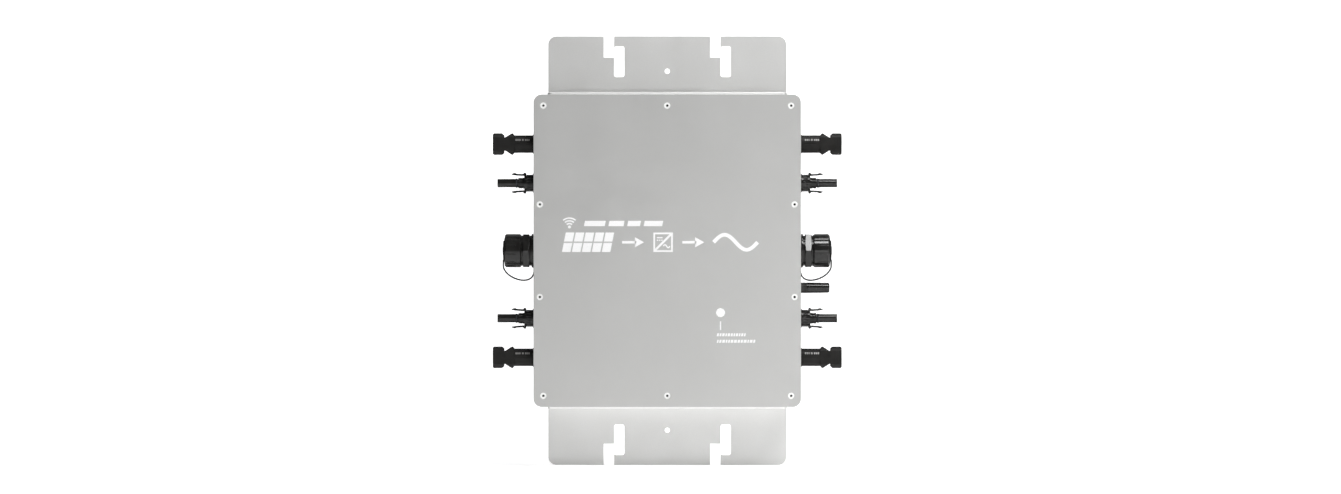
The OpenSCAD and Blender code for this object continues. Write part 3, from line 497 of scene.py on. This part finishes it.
def rounded_profile(x0, x1, r0, r1, radius, steps=4):
    """Corners of a rectangle from (x0, r0) to (x1, r1), rounded."""
    made = []
    corners = [(x1 - radius, r1 - radius, 0), (x0 + radius, r1 - radius, 1),
               (x0 + radius, r0 + radius, 2), (x1 - radius, r0 + radius, 3)]
    for cx, cr, quarter in corners:
        for k in range(steps + 1):
            a = math.pi / 2 * (quarter + k / steps)
            made.append((cx + radius * math.cos(a), cr + radius * math.sin(a)))
    return made


def strap(bm, path, width, thickness):
    """A band of rounded section along path, which lies in the XZ plane."""
    half_w, half_t = width / 2, thickness / 2
    sides = 12
    squareness = 0.35
    rings = []
    for i, point in enumerate(path):
        ahead = path[min(i + 1, len(path) - 1)] - path[max(i - 1, 0)]
        across = Vector((-ahead.z, 0, ahead.x)).normalized()
        ring = []
        for k in range(sides):
            a = 2 * math.pi * k / sides
            flat = math.copysign(abs(math.cos(a)) ** squareness, math.cos(a))
            ring.append(bm.verts.new(point + Vector((0, half_w * flat, 0)) + across * half_t * math.sin(a)))
        rings.append(ring)
    for here, there in zip(rings, rings[1:]):
        for k in range(sides):
            n = (k + 1) % sides
            bm.faces.new((here[k], here[n], there[n], there[k]))
    bm.faces.new(rings[0])
    bm.faces.new(rings[-1][::-1])


def join_solids(objects, name, material):
    """Unites overlapping closed meshes into one."""
    base = objects[0]
    for other in objects[1:]:
        union = base.modifiers.new("union", "BOOLEAN")
        union.operation = "UNION"
        union.solver = "EXACT"
        union.object = other
    bpy.context.view_layer.update()
    made = bpy.data.meshes.new_from_object(base.evaluated_get(bpy.context.evaluated_depsgraph_get()))
    for obj in objects:
        bpy.data.objects.remove(obj)
    for polygon in made.polygons:
        polygon.use_smooth = True
    made.materials.clear()
    made.name = name
    return new_object(name, made, material)


RING_HOLE_R = 10.7 * MM
RING_T = 1.0 * MM
EYELET_R = 8.6 * MM
EYELET_HOLE_R = 2.15 * MM
EYELET_T = 0.8 * MM
EYELET_GAP = 0.05 * MM
# Rounding of the ring's and the eyelet's edges
SOFT_EDGE = 0.25 * MM
STRAP_W = 5 * MM
STRAP_T = 1.3 * MM
# How far the strap's ends reach into the eyelet and into the ring
EYELET_LAP = 0.8 * MM
RING_LAP = 0.9 * MM
# Where the strap's curve starts and ends, in height above the ring's lowest point
CURVE_START = 0.6 * MM
CURVE_END = -2.4 * MM
# How far the strap's curve pulls down below the eyelet and below the ring
EYELET_PULL = 11 * MM
RING_PULL = 17.3 * MM


def flat_ring(centre, inner, outer, thickness):
    bm = bmesh.new()
    revolved(bm, centre, rounded_profile(-thickness / 2, thickness / 2, inner, outer, SOFT_EDGE))
    return from_bmesh("flat_ring", bm, "soft_rubber")


def strap_path(out, wall, strap_x, ring_r):
    """Points from inside the eyelet, down and round, to inside the ring at the wall."""
    leave = Vector((strap_x, PORT_Y, CURVE_START - ring_r))
    arrive = Vector((wall + out * RING_T / 2, PORT_Y, CURVE_END - ring_r))
    swing = [leave, leave + Vector((-out * 0.1 * MM, 0, -EYELET_PULL)),
             arrive + Vector((-out * MM, 0, -RING_PULL)), arrive]
    steps = 30
    path = [Vector((strap_x, PORT_Y, EYELET_LAP - EYELET_R))]
    path += [bezier(swing, i / steps) for i in range(steps + 1)]
    path.append(Vector((arrive.x, PORT_Y, RING_LAP - ring_r)))
    return path


def tether(side):
    """Soft strap from a ring behind the port's flange to an eyelet on the cap's end."""
    node = f"ac_tether_{side}"
    low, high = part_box(node)
    cap_low, cap_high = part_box(f"ac_cap_{side}")
    if side == "right":
        out, wall, tip, cap_face = 1, low.x, high.x, cap_high.x
    else:
        out, wall, tip, cap_face = -1, high.x, low.x, cap_low.x
    ring_r = (high.y - low.y) / 2
    ring_at = Vector((wall + out * RING_T / 2, PORT_Y, 0))
    eyelet_at = Vector((cap_face + out * (EYELET_GAP + EYELET_T / 2), PORT_Y, 0))
    parts = [flat_ring(ring_at, RING_HOLE_R, ring_r, RING_T),
             flat_ring(eyelet_at, EYELET_HOLE_R, EYELET_R, EYELET_T)]
    bm = bmesh.new()
    strap(bm, strap_path(out, wall, tip - out * STRAP_T / 2, ring_r), STRAP_W, STRAP_T)
    parts.append(from_bmesh("strap", bm, "soft_rubber"))
    made = join_solids(parts, f"tether_{side}", "soft_rubber")
    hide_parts(node)
    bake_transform(made)


# ---------------------------------------------------------------- printed graphics

INK = 0.05 * MM
INK_ROOT = 0.01 * MM
SLANT = 0.2

# The main row, in millimetres: how high it stands and how tall it is
MAIN_Z = -1.1
MAIN_H = 16.8
# Its arrows: how far each starts before the sign it points to, its length, its stem and its head
ARROW_LEAD = 27
ARROW_L = 19
ARROW_STEM_H = 2.2
ARROW_HEAD_L = 8
ARROW_HEAD_H = 8.8


def slanted(x, z, w, h):
    """Corners of a bar that leans to the right like italic print."""
    lean = SLANT * h
    return [(x, z), (x + w, z), (x + w + lean, z + h), (x + lean, z + h)]


def wave_outline(x, z, w, h, thickness, steps=28):
    """Outline of one cycle of a sine wave of even thickness."""
    upper, lower = [], []
    for i in range(steps + 1):
        t = i / steps
        slope = 2 * math.pi * h / 2 / w * math.cos(2 * math.pi * t)
        length = math.hypot(1, slope)
        px, pz = x + w * t, z + h / 2 * math.sin(2 * math.pi * t)
        upper.append((px - slope / length * thickness / 2, pz + thickness / 2 / length))
        lower.append((px + slope / length * thickness / 2, pz - thickness / 2 / length))
    return upper + lower[::-1]


def arc_outline(x, z, radius, thickness, start, end, steps=14):
    angles = [math.radians(start + (end - start) * i / steps) for i in range(steps + 1)]
    inside = radius - thickness
    outer = [(x + radius * math.cos(a), z + radius * math.sin(a)) for a in angles]
    inner = [(x + inside * math.cos(a), z + inside * math.sin(a)) for a in angles]
    return outer + inner[::-1]


def box_outline(x, z, w, h):
    return [(x, z), (x + w, z), (x + w, z + h), (x, z + h)]


def frame_outlines(x, z, w, h, t):
    """The four bars of a rectangular frame."""
    return [box_outline(x, z, w, t), box_outline(x, z + h - t, w, t),
            box_outline(x, z + t, t, h - 2 * t), box_outline(x + w - t, z + t, t, h - 2 * t)]


def print_on_cover(name, outlines):
    """White print on the cover's face. Outlines are in millimetres."""
    bm = bmesh.new()
    for outline in outlines:
        prism(bm, [(x * MM, z * MM) for x, z in outline], COVER_FACE + INK_ROOT, INK)
    made = from_bmesh(name, bm, "print_white", smooth=False)
    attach(made, "case")


def panel_pictogram(x, z, h):
    """Solar panel: a leaning grid of cells."""
    cells = []
    gap = 1.2
    cell_w = 7.4
    cell_h = (h - gap) / 2
    for row in range(2):
        for column in range(5):
            up = row * (cell_h + gap)
            cells.append(slanted(x + column * (cell_w + gap) + SLANT * up, z + up, cell_w, cell_h))
    return cells


def arrow_pictogram(x, z, h):
    middle = z + h / 2
    stem_l = ARROW_L - ARROW_HEAD_L
    overlap = 1
    stem = box_outline(x, middle - ARROW_STEM_H / 2, stem_l + overlap, ARROW_STEM_H)
    head = [(x + stem_l, middle - ARROW_HEAD_H / 2), (x + ARROW_L, middle),
            (x + stem_l, middle + ARROW_HEAD_H / 2)]
    return [stem, head]


def converter_pictogram(x, z, size):
    """Square cut by a diagonal, with direct current above it and alternating current below."""
    border, diagonal, line = 1.5, 1.3, 1.1
    made = frame_outlines(x, z, size, size, border)
    left, low = x + border, z + border
    right, top = x + size - border, z + size - border
    made.append([(left, low), (left + diagonal, low), (right, top - diagonal),
                 (right, top), (right - diagonal, top), (left, low + diagonal)])
    # Direct current: a bar over three dashes
    bar_x, bar_z, bar_l = x + 3, z + size - 5, 5
    dash_l, dash_step, dash_drop = 1.2, 1.9, 2.2
    made.append(box_outline(bar_x, bar_z, bar_l, line))
    made += [box_outline(bar_x + dash_step * i, bar_z - dash_drop, dash_l, line) for i in range(3)]
    # Alternating current: one wave
    wave_w, wave_h = 5.6, 2.6
    made.append(wave_outline(x + 8.6, z + 5, wave_w, wave_h, line))
    return made


def wireless_pictogram(x, z):
    """A dot under three arcs."""
    dot_r, pinhole_r = 1.3, 0.01
    dot = arc_outline(x, z + dot_r, dot_r, dot_r - pinhole_r, 0, 360)
    arc_t, arc_start, arc_end = 1.2, 50, 130
    return [dot] + [arc_outline(x, z + 0.6, r, arc_t, arc_start, arc_end) for r in (4.2, 6.6, 9.0)]


def main_row():
    """Solar panel, converter and wave, with arrows between them."""
    panel_x, converter_x, wave_x = -91, -12, 40
    wave_w, wave_h, wave_t = 38, 13, 3.2
    made = panel_pictogram(panel_x, MAIN_Z, MAIN_H)
    made += arrow_pictogram(converter_x - ARROW_LEAD, MAIN_Z, MAIN_H)
    made += converter_pictogram(converter_x, MAIN_Z, MAIN_H)
    made += arrow_pictogram(wave_x - ARROW_LEAD, MAIN_Z, MAIN_H)
    made.append(wave_outline(wave_x, MAIN_Z + MAIN_H / 2, wave_w, wave_h, wave_t, steps=40))
    return made


def upper_row():
    """Wireless sign and plain bars."""
    made = wireless_pictogram(-84.5, 19.2)
    x, bars_z = -72.0, 21.2
    bar_h, gap = 4.6, 3.2
    for w in (18, 13, 11, 16):
        made.append(slanted(x, bars_z, w, bar_h))
        x += w + gap
    return made


def status_label():
    """A stem under the status window and two rows of short bars like fine print."""
    stem_w, stem_h, stem_z = 1.1, 7.5, -68.5
    made = [box_outline(WINDOW_X / MM - stem_w / 2, stem_z, stem_w, stem_h)]
    rng = random.Random(7)
    start, shortest_left = 42.7, 1.4
    bar_h, gap, shortest, longest = 2.6, 0.7, 1.2, 2.6
    for z, stop in ((-73.9, 68.2), (-79.5, 76.3)):
        x = start
        while x < stop - shortest_left:
            w = min(rng.uniform(shortest, longest), stop - x)
            made.append(slanted(x, z, w, bar_h))
            x += w + gap
    return made


def cover_graphics():
    print_on_cover("print_main", main_row())
    print_on_cover("print_upper", upper_row())
    print_on_cover("print_status", status_label())


# ---------------------------------------------------------------- moulded marks

BARREL_R = 7.6 * MM
PAD_ROOT = 0.3 * MM
PAD_PROUD = 0.18 * MM
PAD_EDGE = 0.08 * MM
# Where the pads lie round the barrel, in degrees up from the side that faces front
PAD_ANGLES = (21, 34)
# How far the first pad starts from the connector's tip
PADS_START = 31.9 * MM
# Where each pad starts after the first one, and its length, in millimetres
PADS = ((0, 1.2), (1.6, 1.2), (3.2, 0.9), (5.2, 1.5), (7.9, 1.2), (9.5, 1.2), (11.1, 1.2))


def barrel_pad(bm, centre, out, along, angle):
    """Pad that follows a barrel about the X axis, from along[0] to along[1] and angle[0] to angle[1]."""
    steps = 5
    grid = []
    for r in (BARREL_R - PAD_ROOT, BARREL_R + PAD_PROUD):
        for x in along:
            row = []
            for i in range(steps + 1):
                a = math.radians(angle[0] + (angle[1] - angle[0]) * i / steps)
                row.append(bm.verts.new((out * x, centre.y - r * math.cos(a), centre.z + r * math.sin(a))))
            grid.append(row)
    inner_a, inner_b, outer_a, outer_b = grid
    for i in range(steps):
        bm.faces.new((outer_a[i], outer_b[i], outer_b[i + 1], outer_a[i + 1]))
        bm.faces.new((inner_a[i], inner_a[i + 1], inner_b[i + 1], inner_b[i]))
        bm.faces.new((outer_a[i], outer_a[i + 1], inner_a[i + 1], inner_a[i]))
        bm.faces.new((outer_b[i], inner_b[i], inner_b[i + 1], outer_b[i + 1]))
    for i in (0, steps):
        bm.faces.new((outer_a[i], inner_a[i], inner_b[i], outer_b[i]))


def receptacle_marks(name):
    """Plain raised pads where a real connector's barrel carries moulded characters."""
    low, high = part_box(name)
    out = 1 if low.x + high.x > 0 else -1
    tip = max(abs(low.x), abs(high.x))
    centre = Vector((0, PORT_Y, (low.z + high.z) / 2))
    bm = bmesh.new()
    for offset, length in PADS:
        x = tip - PADS_START + offset * MM
        barrel_pad(bm, centre, out, (x, x + length * MM), PAD_ANGLES)
    # The pads' light grey is painted highlight.
    made = from_bmesh(f"marks_{name}", bm, "highlighted_mark", smooth=False)
    round_edges(made, PAD_EDGE)
    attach(made, "case")


# ---------------------------------------------------------------- studio

# Glow of the paper on the object, and as the camera sees it near the object and far away
PAPER_GLOW = 0.4
SEEN_NEAR = 0.56
SEEN_FAR = 1.0
# Strength of the world's light, and as the camera sees it
SKY = 0.03
SKY_SEEN = 1.1


def stage_material():
    """White paper, seen only from its face, so that it never hides the object.

    It glows to the camera, most of all far away, and its glow lights the object only from the front.
    """
    s = Shader("paper")
    tone = s.mix(s.ramp(s.noise(0.4, detail=3), 0.3, 0.7), (0.9, 0.9, 0.9), (0.94, 0.94, 0.94))
    fibre = s.noise(0.002, detail=4, seed=3.0)
    away = s.add("VectorMath", i0=s.coords)
    away.operation = "LENGTH"
    seen = s.ramp(away.outputs["Value"], 0.8, 2.0, SEEN_NEAR, SEEN_FAR)
    seen = s.maths("MULTIPLY", s.add("LightPath").outputs["Is Camera Ray"], seen)
    glow = s.maths("MAXIMUM", seen, s.ramp(s.beyond("Y", 0.2, 0.4), 0, 1, PAPER_GLOW, 0.0))
    paper = s.add("BsdfPrincipled", Base_Color=tone, Roughness=0.9, Normal=s.bump(fibre, 0.00005),
                  Emission_Color=(1, 1, 1, 1), Emission_Strength=glow)
    behind = s.add("NewGeometry").outputs["Backfacing"]
    clear = s.add("BsdfTransparent")
    both = s.add("MixShader", i0=behind, i1=paper.outputs[0], i2=clear.outputs[0])
    s.add("OutputMaterial", Surface=both.outputs[0])
    return s.material


def sweep(floor_z, front_y, back_y, radius, wall_h, half_w):
    """Pale floor that curves up into a backdrop."""
    profile = [(front_y, floor_z)]
    steps = 16
    for i in range(steps + 1):
        a = math.pi / 2 * i / steps
        profile.append((back_y - radius + radius * math.sin(a), floor_z + radius - radius * math.cos(a)))
    profile.append((back_y, floor_z + wall_h))
    bm = bmesh.new()
    rows = [[bm.verts.new((x, y, z)) for x in (-half_w, half_w)] for y, z in profile]
    for here, there in zip(rows, rows[1:]):
        bm.faces.new((here[0], here[1], there[1], there[0]))
    mesh = bpy.data.meshes.new("studio_sweep")
    bm.to_mesh(mesh)
    bm.free()
    for polygon in mesh.polygons:
        polygon.use_smooth = True
    mesh.materials.append(stage_material())
    floor = bpy.data.objects.new("studio_sweep", mesh)
    bpy.context.scene.collection.objects.link(floor)


def softbox(name, place, size, power, aim):
    """Rectangular area light of power watts at place, turned towards aim."""
    light = bpy.data.lights.new(name, "AREA")
    light.shape = "RECTANGLE"
    light.size, light.size_y = size
    light.energy = power
    lamp = bpy.data.objects.new(name, light)
    lamp.location = place
    lamp.rotation_euler = (Vector(aim) - Vector(place)).to_track_quat("-Z", "Y").to_euler()
    bpy.context.scene.collection.objects.link(lamp)


def studio_world():
    """Faint sky light that the camera sees as plain white."""
    world = bpy.data.worlds.new("studio_world")
    world.use_nodes = True
    tree = world.node_tree
    background = tree.nodes["Background"]
    background.inputs["Color"].default_value = (0.95, 0.97, 1.0, 1)
    seen = tree.nodes.new("ShaderNodeLightPath").outputs["Is Camera Ray"]
    strength = tree.nodes.new("ShaderNodeMapRange")
    strength.inputs["To Min"].default_value = SKY
    strength.inputs["To Max"].default_value = SKY_SEEN
    tree.links.new(seen, strength.inputs["Value"])
    tree.links.new(strength.outputs[0], background.inputs["Strength"])
    return world


def studio():
    sweep(CAD_LOW.z - 0.4 * MM, front_y=-4.0, back_y=1.1, radius=0.6, wall_h=3.5, half_w=4.0)
    softbox("key", (0.55, -0.66, 1.09), (0.9, 0.3), 16.5, aim=(0.55, -0.02, 0))
    softbox("overhead", (0.50, -0.04, 1.20), (0.9, 0.28), 7, aim=(0.50, -0.02, 0))
    softbox("overhead_left", (-0.60, -0.06, 1.20), (0.8, 0.2), 1.5, aim=(-0.60, -0.02, 0))
    softbox("right_fill", (0.87, -0.70, 0.02), (0.7, 1.2), 0.8, aim=(0, -0.02, 0))
    softbox("low_fill", (0.58, -1.61, -0.1), (1.2, 0.25), 2.8, aim=(0, 0, -0.1))
    bpy.context.scene.world = studio_world()
    bpy.context.scene.view_settings.view_transform = "Standard"


def camera():
    """Straight-on view of the cover from far away, framed like the photograph."""
    lens, sensor = 180.0, 36.0
    frame_w = 1.158
    frame_x, frame_z = 2.8 * MM, 3.2 * MM
    data = bpy.data.cameras.new("camera")
    data.lens = lens
    data.sensor_width = sensor
    data.clip_end = 50
    obj = bpy.data.objects.new("camera", data)
    distance = frame_w * lens / sensor
    obj.location = (frame_x, COVER_FACE - distance, frame_z)
    obj.rotation_euler = (math.pi / 2, 0, 0)
    bpy.context.scene.collection.objects.link(obj)
    bpy.context.scene.camera = obj


dress_all_nodes()
tether("left")
tether("right")
cover_graphics()
for node in sorted(NODES):
    if node.startswith("dc_receptacle"):
        receptacle_marks(node)
studio()
camera()
